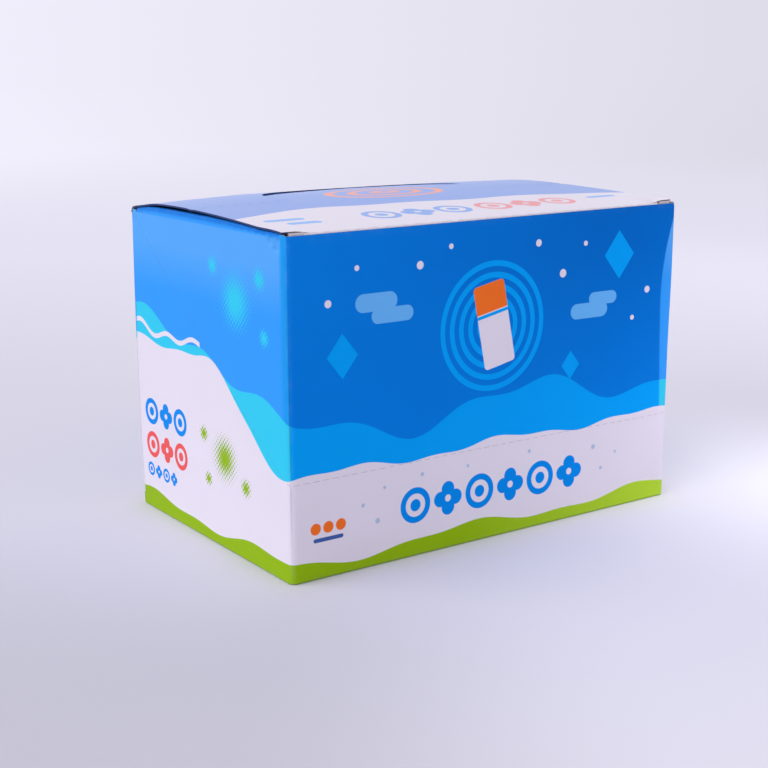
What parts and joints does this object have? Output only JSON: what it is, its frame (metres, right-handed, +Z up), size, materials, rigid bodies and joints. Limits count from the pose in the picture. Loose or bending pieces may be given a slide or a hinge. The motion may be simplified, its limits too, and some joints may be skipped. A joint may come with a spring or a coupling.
{
  "type": "glue stick display carton",
  "caption": "Closed shelf-ready board carton packed with upright twist-up glue sticks; the lid hinges open, its flaps follow, and one stick lifts out, uncaps and winds up.",
  "frame": {"origin": "middle of the carton's footprint, on the shelf", "axes": "+X along the front to the viewer's right, +Y from the printed front to the hinged back, +Z up"},
  "size_m": [0.145, 0.0946, 0.1002],
  "materials": {
    "printed_blue_board": "coated board, offset printed blue, satin varnish",
    "printed_white_board": "coated board, white with printed colours, satin varnish",
    "bare_board": "uncoated grey-brown reverse of the board",
    "cap_plastic": "moulded polypropylene, blue",
    "barrel_plastic": "moulded polypropylene, white",
    "label_film": "printed self-adhesive label",
    "glue_paste": "solid glue paste, waxy white"
  },
  "bodies": {
    "carton": {"bottom_front_flap": "printed_white_board", "bottom_back_flap": "printed_white_board", "bottom_left_flap": "bare_board", "bottom_right_flap": "bare_board", "back_wall": "printed_blue_board", "front_tray_wall": "printed_white_board", "front_tear_panel": "printed_blue_board", "left_tray_end": "printed_white_board", "right_tray_end": "printed_white_board", "left_tear_gusset": "printed_blue_board", "right_tear_gusset": "printed_blue_board", "glue_seam_flap": "bare_board", "stick_r1c1_knob": "cap_plastic", "stick_r1c1_barrel": "barrel_plastic", "stick_r1c1_cap": "cap_plastic", "stick_r1c2_knob": "cap_plastic", "stick_r1c2_barrel": "barrel_plastic", "stick_r1c2_cap": "cap_plastic", "stick_r1c4_knob": "cap_plastic", "stick_r1c4_barrel": "barrel_plastic", "stick_r1c4_cap": "cap_plastic", "stick_r1c5_knob": "cap_plastic", "stick_r1c5_barrel": "barrel_plastic", "stick_r1c5_cap": "cap_plastic", "stick_r1c6_knob": "cap_plastic", "stick_r1c6_barrel": "barrel_plastic", "stick_r1c6_cap": "cap_plastic", "stick_r2c1": "barrel_plastic", "stick_r2c2": "barrel_plastic", "stick_r2c3": "barrel_plastic", "stick_r2c4": "barrel_plastic", "stick_r2c5": "barrel_plastic", "stick_r2c6": "barrel_plastic", "stick_r3c1": "barrel_plastic", "stick_r3c2": "barrel_plastic", "stick_r3c3": "barrel_plastic", "stick_r3c4": "barrel_plastic", "stick_r3c5": "barrel_plastic", "stick_r3c6": "barrel_plastic", "stick_r4c1": "barrel_plastic", "stick_r4c2": "barrel_plastic", "stick_r4c3": "barrel_plastic", "stick_r4c4": "barrel_plastic", "stick_r4c5": "barrel_plastic", "stick_r4c6": "barrel_plastic"},
    "lid": {"lid_rear_panel": "printed_blue_board", "lid_front_panel": "printed_white_board"},
    "tuck": {"tuck_flap": "printed_blue_board"},
    "left_dust": {"left_dust_flap": "printed_blue_board"},
    "right_dust": {"right_dust_flap": "printed_blue_board"},
    "stick": {"working_barrel": "barrel_plastic", "working_label": "label_film"},
    "cap": {"working_cap": "cap_plastic"},
    "knob": {"working_knob": "cap_plastic"},
    "carrier": {"working_carrier": "barrel_plastic", "working_glue": "glue_paste"}
  },
  "joints": [
    {"name": "lid_hinge", "type": "hinge", "parent": "carton", "child": "lid", "pos_m": [0, 0.047, 0.09695], "axis": [-1, 0, 0], "range_deg": [0, 180]},
    {"name": "tuck_fold", "type": "hinge", "parent": "lid", "child": "tuck", "pos_m": [0, -0.0462, 0.09695], "axis": [-1, 0, 0], "range_deg": [0, 90]},
    {"name": "left_dust_fold", "type": "hinge", "parent": "carton", "child": "left_dust", "pos_m": [-0.07225, 0, 0.09615], "axis": [0, -1, 0], "range_deg": [0, 180]},
    {"name": "right_dust_fold", "type": "hinge", "parent": "carton", "child": "right_dust", "pos_m": [0.07225, 0, 0.09615], "axis": [0, 1, 0], "range_deg": [0, 180]},
    {"name": "stick_lift", "type": "slide", "parent": "carton", "child": "stick", "axis": [0, 0, 1], "range_m": [0, 0.09]},
    {"name": "cap_pull", "type": "slide", "parent": "stick", "child": "cap", "axis": [0, 0, 1], "range_m": [0, 0.04]},
    {"name": "knob_turn", "type": "hinge", "parent": "stick", "child": "knob", "pos_m": [-0.0119, -0.03225, 0.0013], "axis": [0, 0, 1], "range_deg": [0, 900]},
    {"name": "carrier_rise", "type": "slide", "parent": "stick", "child": "carrier", "axis": [0, 0, 1], "range_m": [0, 0.0125]}
  ],
  "couplings": [
    {"joint": "tuck_fold", "follows": "lid_hinge", "ratio": 0.25},
    {"joint": "left_dust_fold", "follows": "lid_hinge", "ratio": 0.5},
    {"joint": "right_dust_fold", "follows": "lid_hinge", "ratio": 0.5},
    {"joint": "stick_lift", "follows": "lid_hinge", "m_per_rad": 0.02864},
    {"joint": "cap_pull", "follows": "lid_hinge", "m_per_rad": 0.01273},
    {"joint": "knob_turn", "follows": "carrier_rise", "rad_per_m": 1256.6}
  ]
}
